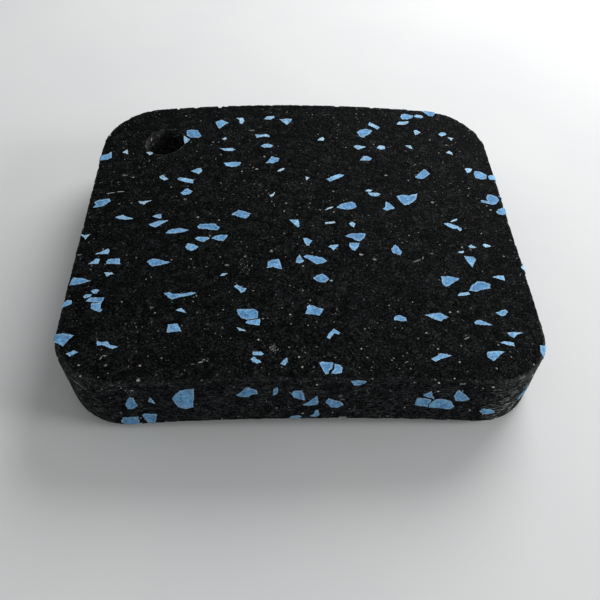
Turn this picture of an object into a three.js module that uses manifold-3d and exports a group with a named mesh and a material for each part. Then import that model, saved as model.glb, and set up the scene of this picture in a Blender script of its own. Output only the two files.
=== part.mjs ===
// Rubber gym floor tile: a piece of black crumb rubber sheet with blue flecks, cut to a
// rectangle with rounded corners, with one hole punched near its back left corner.
// The sheet keeps a slight crown from the roll it was stored on, so the piece arches over
// its width and rests on its left and right lower edges. It is one solid.
//
// Units are millimetres and +Z is up. The origin is on the floor under the middle of the
// tile, +X runs along its width, and +Y towards the edge that has the hole beside it.

import * as THREE from 'three';
import * as BufferGeometryUtils from 'three/addons/utils/BufferGeometryUtils.js';
import Module from 'manifold-3d';

// the cut piece, seen from above
const WIDTH = 100;
const DEPTH = 88;
const CORNER_RADIUS = 14;

// the sheet: its thickness, and how far the middle of the underside stands off the floor
const THICKNESS = 15;
const CROWN = 3.4;

// the punched hole, its centre measured from the left and from the back edge
const HOLE_DIAMETER = 9.5;
const HOLE_FROM_LEFT = 16.4;
const HOLE_FROM_BACK = 14.8;

// how finely round stretches are divided: the crown has an odd number of flat strips,
// so that its middle strip is level
const CROWN_STRIPS = 17;
const CORNER_STEPS = 14;
const HOLE_SIDES = 40;

// an arc in a shape is divided into two steps for each of the geometry's curve segments
const STEPS_PER_SEGMENT = 2;

// how far the cutting shapes run past the sheet above, below and at the front and back
const CUT_OVERRUN = 5;

const wasm = await Module();
wasm.setup();

// Turns a closed geometry into a solid that can be cut.
function toSolid(geometry) {
  geometry.deleteAttribute('normal');
  geometry.deleteAttribute('uv');
  const merged = BufferGeometryUtils.mergeVertices(geometry);
  return new wasm.Manifold(new wasm.Mesh({
    numProp: 3,
    vertProperties: merged.attributes.position.array,
    triVerts: merged.index.array,
  }));
}

// Turns a solid back into a geometry.
function toGeometry(solid) {
  const mesh = solid.getMesh();
  const geometry = new THREE.BufferGeometry();
  geometry.setAttribute('position', new THREE.BufferAttribute(mesh.vertProperties, 3));
  geometry.setIndex(new THREE.BufferAttribute(mesh.triVerts, 1));
  return geometry;
}

// The crowned sheet. Its two faces are arcs about one axis under the floor, seen from the
// front, and the lower one meets the floor at the tile's left and right edges.
function crownedSheet() {
  const halfWidth = WIDTH / 2;
  const innerRadius = (halfWidth * halfWidth + CROWN * CROWN) / (2 * CROWN);
  const outerRadius = innerRadius + THICKNESS;
  const axisHeight = CROWN - innerRadius;
  const innerAngle = Math.asin(halfWidth / innerRadius);
  const outerAngle = Math.asin(halfWidth / outerRadius);
  const up = Math.PI / 2;

  const section = new THREE.Shape();
  section.absarc(0, axisHeight, innerRadius, up + innerAngle, up - innerAngle, true);
  section.absarc(0, axisHeight, outerRadius, up - outerAngle, up + outerAngle, false);

  const length = DEPTH + 2 * CUT_OVERRUN;
  const sheet = new THREE.ExtrudeGeometry(section, {
    depth: length,
    bevelEnabled: false,
    curveSegments: CROWN_STRIPS / STEPS_PER_SEGMENT,
  });
  sheet.rotateX(up);
  sheet.translate(0, length / 2, 0);
  return toSolid(sheet);
}

// A straight column with the tile's outline, tall enough to pass through the sheet.
function outlineColumn() {
  const right = WIDTH / 2;
  const back = DEPTH / 2;
  const arcX = right - CORNER_RADIUS;
  const arcY = back - CORNER_RADIUS;
  const quarter = Math.PI / 2;

  const outline = new THREE.Shape();
  outline.absarc(arcX, -arcY, CORNER_RADIUS, -quarter, 0, false);
  outline.absarc(arcX, arcY, CORNER_RADIUS, 0, quarter, false);
  outline.absarc(-arcX, arcY, CORNER_RADIUS, quarter, 2 * quarter, false);
  outline.absarc(-arcX, -arcY, CORNER_RADIUS, 2 * quarter, 3 * quarter, false);

  const column = new THREE.ExtrudeGeometry(outline, {
    depth: CROWN + THICKNESS + 2 * CUT_OVERRUN,
    bevelEnabled: false,
    curveSegments: CORNER_STEPS / STEPS_PER_SEGMENT,
  });
  column.translate(0, 0, -CUT_OVERRUN);
  return toSolid(column);
}

// The slug that the punch takes out.
function holeSlug() {
  const height = CROWN + THICKNESS + 2 * CUT_OVERRUN;
  const slug = new THREE.CylinderGeometry(HOLE_DIAMETER / 2, HOLE_DIAMETER / 2, height, HOLE_SIDES);
  slug.rotateX(Math.PI / 2);
  slug.translate(
    HOLE_FROM_LEFT - WIDTH / 2,
    DEPTH / 2 - HOLE_FROM_BACK,
    height / 2 - CUT_OVERRUN,
  );
  return toSolid(slug);
}

// black crumb rubber, matt and not a metal
const crumbRubber = new THREE.MeshStandardMaterial({
  color: 0x1a1c1d,
  roughness: 0.85,
  metalness: 0,
});

const tile = new THREE.Mesh(
  toGeometry(crownedSheet().intersect(outlineColumn()).subtract(holeSlug())),
  crumbRubber,
);
tile.name = 'rubber_tile';

const part = new THREE.Group();
part.add(tile);

export default part;
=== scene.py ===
import math
import random

import bmesh
import bpy
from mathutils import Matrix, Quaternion, Vector, noise
from mathutils.geometry import delaunay_2d_cdt


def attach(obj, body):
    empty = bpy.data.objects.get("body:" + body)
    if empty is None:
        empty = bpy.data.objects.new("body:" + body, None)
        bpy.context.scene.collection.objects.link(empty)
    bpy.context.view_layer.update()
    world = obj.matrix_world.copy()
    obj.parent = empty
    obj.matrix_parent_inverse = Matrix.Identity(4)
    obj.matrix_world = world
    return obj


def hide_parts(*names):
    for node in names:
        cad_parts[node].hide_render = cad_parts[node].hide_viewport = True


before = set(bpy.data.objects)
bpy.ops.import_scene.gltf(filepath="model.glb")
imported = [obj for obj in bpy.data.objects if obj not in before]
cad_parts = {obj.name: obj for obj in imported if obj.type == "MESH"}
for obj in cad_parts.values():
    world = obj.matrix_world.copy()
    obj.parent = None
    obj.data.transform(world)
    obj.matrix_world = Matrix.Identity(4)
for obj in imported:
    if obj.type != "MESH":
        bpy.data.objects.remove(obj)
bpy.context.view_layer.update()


# The sheet: black rubber crumb from ground tyres, bound with polyurethane, pressed to a
# 15 mm gauge, stored on a roll, which leaves it a slight crown, and cut to shape with a die.
# A round punch took the hole out near the back left corner.
MM = 0.001
WIDTH, DEPTH, CORNER = 100.0, 88.0, 14.0
GAUGE, CROWN = 15.0, 3.4
HOLE_X, HOLE_Y, HOLE_RADIUS = -33.6, 29.2, 4.75
UNDER_ARC = (WIDTH * WIDTH / 4 + CROWN * CROWN) / (2 * CROWN)
TREAD_ARC = UNDER_ARC + GAUGE
TREAD_SKIN = 0.06          # the pressed face lies this far inside the solid's
RIM_RADIUS = 0.32          # the cut upper edge, rounded by handling
FOOT_RADIUS = 0.35         # the lower edge
LIP_RADIUS = 0.3           # both edges of the hole
WALL_STEP = 0.5            # facet size on the walls
TREAD_STEP, UNDER_STEP = 0.46, 0.85
ROW_GAP = 0.87             # rows of points lie this part of a step apart, as in even triangles
POINT_SHAKE = 0.28         # and each is moved by up to this part, so that no facets line up
CORNER_LEAN = 1.2          # the wall leans in by half of this below the front left corner
CRUMB, SMALL_CRUMB = 1.5, 0.8
HALF_W, HALF_D = WIDTH / 2 - CORNER, DEPTH / 2 - CORNER
QUARTER = CORNER * math.pi / 2
PERIMETER = 4 * (HALF_W + HALF_D + QUARTER)

# nicks in the back upper edge: where along the width, how deep and how wide
BACK_NICKS = [(-20.3, 1.5, 1.7), (-31.5, 1.0, 1.3), (-11.3, 0.6, 1.3), (-6.5, 0.6, 1.2),
              (-4.1, 0.4, 0.9), (14.2, 0.4, 0.9), (27.5, 0.4, 0.9)]


def tread_height(x):
    return CROWN - UNDER_ARC + math.sqrt(TREAD_ARC * TREAD_ARC - x * x) - TREAD_SKIN


def under_height(x):
    return CROWN - UNDER_ARC + math.sqrt(UNDER_ARC * UNDER_ARC - x * x)


def outline(run):
    """Point and outward direction on the cut outline, run mm from the front's middle."""
    run %= PERIMETER
    if run < HALF_W:
        return (run, -DEPTH / 2), (0.0, -1.0)
    run -= HALF_W
    legs = (
        (HALF_W, -HALF_D, -90, 2 * HALF_D, (0, 1)),
        (HALF_W, HALF_D, 0, 2 * HALF_W, (-1, 0)),
        (-HALF_W, HALF_D, 90, 2 * HALF_D, (0, -1)),
        (-HALF_W, -HALF_D, 180, HALF_W, (1, 0)),
    )
    for cx, cy, start, straight, along in legs:
        if run < QUARTER:
            a = math.radians(start) + run / CORNER
            out = (math.cos(a), math.sin(a))
            return (cx + CORNER * out[0], cy + CORNER * out[1]), out
        run -= QUARTER
        if run < straight:
            out = (float(along[1]), float(-along[0]))
            return (cx + CORNER * out[0] + along[0] * run,
                    cy + CORNER * out[1] + along[1] * run), out
        run -= straight
    return (0.0, -DEPTH / 2), (0.0, -1.0)


def rim_distance(x, y):
    """How far a point of the plan lies inside the cut outline."""
    qx, qy = abs(x) - HALF_W, abs(y) - HALF_D
    return CORNER - math.hypot(max(qx, 0), max(qy, 0)) - min(max(qx, qy), 0)


def lean(out, part_up):
    """How far the wall stands in from the outline: it leans in below the front left corner."""
    return CORNER_LEAN * max(0.0, -out[0]) * max(0.0, -out[1]) * (1 - part_up)


def rounded(depth, radius):
    """How far an edge rounded to radius falls away, depth mm in from it."""
    if depth >= radius:
        return 0.0
    return radius - math.sqrt(max(radius * radius - (radius - max(depth, 0)) ** 2, 0))


def smooth(value, low, high):
    t = min(max((value - low) / (high - low), 0), 1)
    return t * t * (3 - 2 * t)


def crumb(point, size):
    """Height of the crumb at a point, 0 to 1, and how near the gap between crumbs is."""
    near, seeds = noise.voronoi(Vector(point) / size)
    own = 0.5 + 0.5 * noise.cell(seeds[0] * 7.31)
    return own, 1 - smooth(near[1] - near[0], 0.02, 0.3)


# How far the rough surface lies under the smooth one on each kind of face, in mm: in all,
# for each crumb's own height, in the gaps, in gaps that the grain breaks up, for the small
# crumbs' height, in the gaps between those, and in gaps where a crumb was torn out.
RELIEF = {
    "tread": (0.012, 0.035, 0.0, 0.05, 0.0, 0.03, 0.12),
    "under": (0.04, 0.06, 0.07, 0.0, 0.03, 0.0, 0.0),
    "wall": (0.045, 0.07, 0.0, 0.08, 0.04, 0.03, 0.0),
    "hole": (0.06, 0.18, 0.14, 0.0, 0.10, 0.0, 0.0),
}


def relief(point, face):
    whole, high, open_gap, broken_gap, fine, fine_gap, torn_gap = RELIEF[face]
    own, gap = crumb(point, CRUMB)
    small, cleft = crumb(point, SMALL_CRUMB)
    grain = 0.5 + 0.5 * noise.noise(Vector(point) * 2.1)
    torn = smooth(noise.noise(Vector(point) * 0.9 + Vector((9, 3, 1))), 0.45, 0.75)
    return (whole + high * own + open_gap * gap + broken_gap * gap * grain
            + fine * small + fine_gap * cleft + torn_gap * torn * gap)


def disc_points(step, inset, seed):
    """Scattered points over the plan, about step mm apart, clear of the rims."""
    draw = random.Random(seed)
    rows = int(DEPTH / (step * ROW_GAP)) + 1
    points = []
    for row in range(rows):
        y = -DEPTH / 2 + (row + 0.5) * DEPTH / rows
        for column in range(int(WIDTH / step) + 1):
            x = -WIDTH / 2 + (column + 0.5 * (row % 2)) * step
            px = x + draw.uniform(-POINT_SHAKE, POINT_SHAKE) * step
            py = y + draw.uniform(-POINT_SHAKE, POINT_SHAKE) * step
            leaning = CORNER_LEAN / 2 if px < -HALF_W and py < -HALF_D else 0.0
            to_hole = math.hypot(px - HOLE_X, py - HOLE_Y)
            if rim_distance(px, py) > inset + leaning + 0.55 * step \
                    and to_hole > HOLE_RADIUS + LIP_RADIUS + 0.5 * step:
                points.append((px, py))
    return points


def face_net(ring, hole, inner):
    """Triangles between the outline's ring, the hole's ring and the points inside."""
    plan = [Vector(p) for p in ring + hole + inner]
    n, m = len(ring), len(hole)
    loops = [(i, (i + 1) % n) for i in range(n)] + [(n + i, n + (i + 1) % m) for i in range(m)]
    net = delaunay_2d_cdt(plan, loops, [], 0, 1e-5)
    if len(net[0]) != len(plan):
        raise ValueError("the triangulation added points")
    faces = []
    for f in net[2]:
        corners = tuple(net[3][i][0] for i in f)
        if not all(n <= i < n + m for i in corners):
            faces.append(corners)
    return faces


sheet_points, sheet_normals, sheet_kinds, sheet_runs, sheet_faces = [], [], [], [], []


def add_point(p, normal, face, run=(0.0, 0.0, 0.0)):
    sheet_points.append(Vector(p))
    sheet_normals.append(Vector(normal).normalized())
    sheet_kinds.append(face)
    sheet_runs.append(run)
    return len(sheet_points) - 1


def bridge(lower, upper):
    n = len(lower)
    for i in range(n):
        j = (i + 1) % n
        sheet_faces.append((lower[i], lower[j], upper[j], upper[i]))


# The cut walls: rings from the lower edge to the upper one. Each has how far in from the
# outline it lies, how far up the wall, its height over the face beside it, and how far its
# normal turns up.
RING = round(PERIMETER / WALL_STEP)
LEVELS = 28
# how strong the cut marks are on the sides and in the corners; in the front right corner they are
# made strong enough to be painted sheen
SIDE_DRAG, CORNER_DRAG, FRONT_RIGHT_DRAG_AND_SHEEN = 0.27, 0.8, 2.8
wall_rings = []
for inset, part_up, rise, up_share in (
    [(FOOT_RADIUS, 0, 0.0, -0.95), (0.1, 0, 0.1, -0.5)]
    + [(0.0, k / LEVELS, 0, 0) for k in range(LEVELS + 1)]
    + [(0.05, 1, -0.15, 0.5), (0.15, 1, -0.045, 0.8), (RIM_RADIUS, 1, 0.0, 0.97)]
):
    ring = []
    for i in range(RING):
        run = i * PERIMETER / RING
        (x, y), out = outline(run)
        back_in = inset + lean(out, part_up)
        x, y = x - back_in * out[0], y - back_in * out[1]
        foot, rim = under_height(x) + FOOT_RADIUS, tread_height(x) - RIM_RADIUS
        if inset == 0:
            z = foot + (rim - foot) * part_up
        else:
            z = (tread_height(x) if part_up else under_height(x)) + rise
        level = math.sqrt(1 - up_share * up_share)
        kind = "tread" if inset == RIM_RADIUS else "under" if rise == 0 and inset else "wall"
        # the die dragged in the corners; in the front right one the marks are made far stronger, as
        # painted sheen
        drag_and_sheen = FRONT_RIGHT_DRAG_AND_SHEEN if out[0] > 0 > out[1] else CORNER_DRAG
        mark_and_sheen = SIDE_DRAG + drag_and_sheen * min(1.0, 2.2 * abs(out[0] * out[1]))
        ring.append(add_point((x, y, z), (out[0] * level, out[1] * level, up_share), kind,
                              (run, z, mark_and_sheen)))
    wall_rings.append(ring)
for lower, upper in zip(wall_rings, wall_rings[1:]):
    bridge(lower, upper)

# the punched wall of the hole, seen from inside, from the underside up
HOLE_RING = round(2 * math.pi * HOLE_RADIUS / WALL_STEP)
hole_rings = []
for grow, part_up, rise, up_share in (
    [(LIP_RADIUS, 0, 0.0, -0.95), (0.09, 0, 0.09, -0.6)]
    + [(0.0, k / LEVELS, 0, 0) for k in range(LEVELS + 1)]
    + [(0.09, 1, -0.09, 0.6), (LIP_RADIUS, 1, 0.0, 0.95)]
):
    ring = []
    for i in range(HOLE_RING):
        a = -2 * math.pi * i / HOLE_RING
        out = (math.cos(a), math.sin(a))
        x = HOLE_X + (HOLE_RADIUS + grow) * out[0]
        y = HOLE_Y + (HOLE_RADIUS + grow) * out[1]
        foot, lip = under_height(x) + LIP_RADIUS, tread_height(x) - LIP_RADIUS
        if grow == 0:
            z = foot + (lip - foot) * part_up
        else:
            z = (tread_height(x) if part_up else under_height(x)) + rise
        level = math.sqrt(1 - up_share * up_share)
        at_face = rise == 0 and grow
        kind = ("tread" if part_up else "under") if at_face else "hole"
        ring.append(add_point((x, y, z), (-out[0] * level, -out[1] * level, up_share), kind,
                              (-a * HOLE_RADIUS, z, 1.0)))
    hole_rings.append(ring)
for lower, upper in zip(hole_rings, hole_rings[1:]):
    bridge(lower, upper)

# the pressed tread and the underside
for face, outer, inner_ring, step, inset, height, up in (
    ("tread", wall_rings[-1], hole_rings[-1], TREAD_STEP, RIM_RADIUS, tread_height, 1),
    ("under", wall_rings[0], hole_rings[0], UNDER_STEP, FOOT_RADIUS, under_height, -1),
):
    inside = disc_points(step, inset, 5 + up)
    index = list(outer) + list(inner_ring)
    arc = TREAD_ARC if up > 0 else UNDER_ARC
    for x, y in inside:
        index.append(add_point((x, y, height(x)), (up * x / arc, 0, up), face))
    net = face_net([tuple(sheet_points[i][:2]) for i in outer],
                   [tuple(sheet_points[i][:2]) for i in inner_ring], inside)
    for a, b, c in net:
        sheet_faces.append(tuple(index[i] for i in ((a, b, c) if up > 0 else (c, b, a))))

# Crumb relief, cut marks, crumbs torn out of the edges, and the nicks at the back. How deep
# they go in mm: the die's drag marks, the blunt upper edge, and crumbs torn out of the upper
# and of the lower edge. Greying is how grey the surface gets: wear on the upper edge, made
# strongest at the front right corner as painted sheen, and painted light on the hole's wall.
DRAG_DEPTH, BLUNT_DEPTH, RIM_TORN, FOOT_TORN = 0.025, 0.02, 0.22, 0.15
# painted light: how much lighter the side of the hole's wall that faces the lamps is made
HOLE_PAINTED_LIGHT = 0.45
wear_and_light = []
for i, (p, normal, kind, run) in enumerate(
        zip(sheet_points, sheet_normals, sheet_kinds, sheet_runs)):
    sink = relief(p, kind)
    below = tread_height(p.x) - p.z
    edge = rim_distance(p.x, p.y)
    greying = 0.0
    if kind == "wall":
        # the die drags: long shallow marks that lean over as they go round
        leaning = Vector((run[0] * 0.16, (run[1] - 0.12 * run[0]) * 2.6, 4.0))
        sink += DRAG_DEPTH * (1 + noise.noise(leaning))
    if kind in ("wall", "tread") and edge < 1.2 and below < 1.4:
        torn = smooth(noise.noise(Vector((p.x * 0.8, p.y * 0.8, 2.5))), 0.15, 0.6)
        sink += ((BLUNT_DEPTH + RIM_TORN * torn) * (1 - smooth(edge, 0.1, 1.1))
                 * (1 - smooth(below, 0.1, 1.3)))
        # the upper edge greys from wear; it greys most at the front right corner, which is painted
        # sheen
        greying = (0.07 + 0.22 * run[2]) * (1 - smooth(edge, 0.0, 0.6)) * (1 - smooth(below, 0.2, 0.9))
    if kind == "hole":
        # painted light: the hole's wall is lighter on the side that faces the lamps on the right,
        # towards its top
        greying = HOLE_PAINTED_LIGHT * (1 - smooth(below, 6.0, 14.0)) * smooth(normal.x, -0.3, 0.7)
    if kind == "wall" and p.z - under_height(p.x) < 0.9:
        sink += FOOT_TORN * smooth(noise.noise(Vector((p.x * 0.9, p.y * 0.9, 7.5))), 0.2, 0.6)
    moved = p - normal * sink
    if p.y > DEPTH / 2 - 2.2 and below < 3.4 and kind != "hole":
        for nick_x, deep, wide in BACK_NICKS:
            share = max(0, 1 - abs(p.x - nick_x) / (wide * 0.5)) * (1 - smooth(below, 1.4, 3.4))
            if share > 0:
                moved.y = min(moved.y, DEPTH / 2 - deep * share)
    wear_and_light.append(greying)
    sheet_points[i] = moved


def closed_mesh(name, points, faces):
    """A mesh from points in mm, with its faces turned outwards."""
    made = bpy.data.meshes.new(name)
    made.from_pydata([p * MM for p in points], [], faces)
    net = bmesh.new()
    net.from_mesh(made)
    bmesh.ops.recalc_face_normals(net, faces=net.faces)
    net.to_mesh(made)
    net.free()
    return made


def add_object(name, data):
    made = bpy.data.objects.new(name, data)
    bpy.context.scene.collection.objects.link(made)
    return made


mesh = closed_mesh("crumb_sheet", sheet_points, sheet_faces)
mesh.attributes.new("cut_run", "FLOAT_VECTOR", "POINT").data.foreach_set(
    "vector", [v for run in sheet_runs for v in run])
mesh.attributes.new("wear_and_light", "FLOAT", "POINT").data.foreach_set("value", wear_and_light)
mesh.shade_smooth()
sheet = add_object("crumb_sheet", mesh)


def linear(code):
    """An sRGB hex colour as linear red, green, blue and alpha."""
    parts = [int(code[i:i + 2], 16) / 255 for i in (1, 3, 5)]
    return tuple(c / 12.92 if c <= 0.04045 else ((c + 0.055) / 1.055) ** 2.4 for c in parts) + (1,)


def grey(value):
    return (value, value, value, 1)


def add_node(tree, kind, links=(), stops=(), values=(), **settings):
    """One node. Links give input and source, where a node stands for its first output. Stops
    are the places and colours of a colour ramp, values give input and value, and settings
    name the node's properties or inputs."""
    node = tree.nodes.new("ShaderNode" + kind)
    while stops and len(node.color_ramp.elements) < len(stops):
        node.color_ramp.elements.new(0.5)
    for i, (position, tint) in enumerate(stops):
        node.color_ramp.elements[i].position, node.color_ramp.elements[i].color = position, tint
    for name, value in settings.items():
        key = name.replace("_", " ").lower()
        sockets = [s for s in node.inputs if s.name.lower() == key]
        if hasattr(node, name):
            setattr(node, name, value)
        elif sockets:
            sockets[0].default_value = value
        else:
            raise ValueError(f"{kind} has no {name}")
    for socket, value in values:
        node.inputs[socket].default_value = value
    for socket, source in links:
        if isinstance(source, bpy.types.Node):
            source = source.outputs[0]
        tree.links.new(node.inputs[socket], source)
    return node


def new_material(name):
    """An empty node material, its tree, and the place on the object that patterns go by."""
    made = bpy.data.materials.new(name)
    made.use_nodes = True
    made.node_tree.nodes.clear()
    return made, made.node_tree, add_node(made.node_tree, "TexCoord").outputs["Object"]


# a mix node has several inputs of each name, so its colour ones go by number
FACTOR, COLOUR_A, COLOUR_B, MIXED = 0, 6, 7, 2
MULTIPLY = {"values": [(FACTOR, 1.0)], "data_type": "RGBA", "blend_type": "MULTIPLY"}

# SBR crumb rubber: matt and nearly black. Each crumb has its own grey, and fine pale dust
# in the binder keeps the black from being even. Real dust is about 0.1 mm fine, which is
# too fine to show, so the grain is drawn 0.45 mm apart.
GRAIN = 0.45
crumb_rubber, tree, place = new_material("sbr_crumb_rubber")
cells = add_node(tree, "TexVoronoi", [("Vector", place)], Scale=1 / (CRUMB * MM))
grain = add_node(tree, "TexNoise", [("Vector", place)], Scale=1 / (GRAIN * MM),
                 Detail=3.0, Roughness=0.7)
own = add_node(tree, "SeparateColor", [("Color", cells.outputs["Color"])])
crumb_tone = add_node(tree, "ValToRGB", [("Fac", own.outputs["Red"])], [
    (0.0, linear("#090a0a")), (0.6, linear("#0f1011")), (1.0, linear("#171919"))])
grain_tone = add_node(tree, "ValToRGB", [("Fac", grain)], [
    (0.30, grey(0.04)), (0.42, grey(0.25)), (0.50, grey(0.72)), (0.60, grey(1.9)),
    (0.70, grey(4.6))])
colour = add_node(tree, "Mix", [(COLOUR_A, crumb_tone), (COLOUR_B, grain_tone)],
                  **MULTIPLY).outputs[MIXED]

# Specks of pale filler and of brown textile fibre, 0.3 to 0.4 mm across and ragged: how far
# apart their cells are in mm, the share of cells without one, its radius as a part of the
# cell, and its colour.
SPECKS = ((0.8, 0.72, 0.17, "#3c3e3d"), (1.2, 0.80, 0.14, "#5c5e5b"),
          (1.6, 0.88, 0.12, "#493c33"), (2.4, 0.80, 0.08, "#8b8c87"))
ragged = add_node(tree, "TexNoise", [("Vector", place)], Scale=1 / (0.35 * MM), Detail=1.0)
pushed = add_node(tree, "VectorMath", [(0, ragged.outputs["Color"])],
                  operation="SCALE", Scale=0.5 * MM)
torn_place = add_node(tree, "VectorMath", [(0, place), (1, pushed)], operation="ADD")
for size, share, width, tint in SPECKS:
    dots = add_node(tree, "TexVoronoi", [("Vector", torn_place)], Scale=1 / (size * MM))
    picked = add_node(tree, "SeparateColor", [("Color", dots.outputs["Color"])])
    chosen = add_node(tree, "Math", [(0, picked.outputs["Green"])],
                      values=[(1, share)], operation="GREATER_THAN")
    inside = add_node(tree, "Math", [(0, dots)], values=[(1, width)], operation="LESS_THAN")
    shown = add_node(tree, "Math", [(0, chosen), (1, inside)], operation="MULTIPLY")
    colour = add_node(tree, "Mix", [(FACTOR, shown), (COLOUR_A, colour)],
                      values=[(COLOUR_B, linear(tint))], data_type="RGBA").outputs[MIXED]

# a cut face is greyer than the pressed one
cut = add_node(tree, "Attribute", attribute_name="cut_run").outputs["Vector"]
on_wall = add_node(tree, "SeparateXYZ", [("Vector", cut)]).outputs["Z"]
cut_tone = add_node(tree, "ValToRGB", [("Fac", on_wall)],
                    [(0.0, grey(1)), (0.25, (2.25, 2.25, 2.35, 1))])
colour = add_node(tree, "Mix", [(COLOUR_A, colour), (COLOUR_B, cut_tone)],
                  **MULTIPLY).outputs[MIXED]

# Cut marks on the walls, about 2 mm long along the cut and 0.3 mm apart. They come and go
# in patches of a few millimetres, where the blade dragged or slid. In the front right corner
# they are made much stronger and paler, as painted sheen.
stretched = add_node(tree, "Mapping", [("Vector", cut)], Scale=(0.5, 3.0, 0.0),
                     Rotation=(0.0, 0.0, 0.12))
marks = add_node(tree, "TexNoise", [("Vector", stretched)], Scale=1.0, Detail=3.0, Roughness=0.6)
mark_tone = add_node(tree, "ValToRGB", [("Fac", marks)], [(0.54, grey(0)), (0.66, grey(1))])
# painted sheen: where the mark strength is high, in the front right corner, the pale marks stand
# for a sheen on the cut wall
mark_and_sheen_share = add_node(tree, "Math", [(0, mark_tone), (1, on_wall)], operation="MULTIPLY")
patches = add_node(tree, "TexNoise", [("Vector", place)], Scale=1 / (3.5 * MM), Detail=2.0)
patch_share = add_node(tree, "ValToRGB", [("Fac", patches)],
                       [(0.40, grey(0.04)), (0.62, grey(0.5))])
mark_and_sheen_share = add_node(tree, "Math", [(0, mark_and_sheen_share), (1, patch_share)], operation="MULTIPLY")

# the handled upper edge is a little greyer from wear, most at the front right corner, where it
# is painted sheen; the side of the hole's wall that faces the lamps is painted light
wear_and_light_value = add_node(tree, "Attribute", attribute_name="wear_and_light").outputs["Fac"]
wear_and_light_share = add_node(tree, "Math", [(0, wear_and_light_value), (1, grain)], operation="MULTIPLY")
for share, tint in ((mark_and_sheen_share, "#aaaba6"), (wear_and_light_share, "#595a56")):
    colour = add_node(tree, "Mix", [(FACTOR, share), (COLOUR_A, colour)],
                      values=[(COLOUR_B, linear(tint))], data_type="RGBA").outputs[MIXED]

edges = add_node(tree, "TexVoronoi", [("Vector", place)], feature="DISTANCE_TO_EDGE",
                 Scale=1 / (CRUMB * MM))
gap_depth = add_node(tree, "ValToRGB", [("Fac", edges)], [(0.0, grey(0)), (0.12, grey(1))])
crumb_bump = add_node(tree, "Bump", [("Height", gap_depth)], Strength=0.35, Distance=0.06 * MM)
mark_bump = add_node(tree, "Bump", [("Height", mark_and_sheen_share), ("Normal", crumb_bump)],
                     Strength=0.6, Distance=0.12 * MM)
grain_bump = add_node(tree, "Bump", [("Height", grain), ("Normal", mark_bump)],
                      Strength=0.7, Distance=0.12 * MM)
matt = add_node(tree, "MapRange", [("Value", grain)], From_Min=0.3, From_Max=0.7,
                To_Min=0.92, To_Max=0.68)
shader = add_node(tree, "BsdfPrincipled",
                  [("Base Color", colour), ("Roughness", matt), ("Normal", grain_bump)],
                  IOR=1.52, Specular_IOR_Level=0.018)
add_node(tree, "OutputMaterial", [("Surface", shader)])
sheet.data.materials.append(crumb_rubber)
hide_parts("rubber_tile")
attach(sheet, "root")
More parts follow.
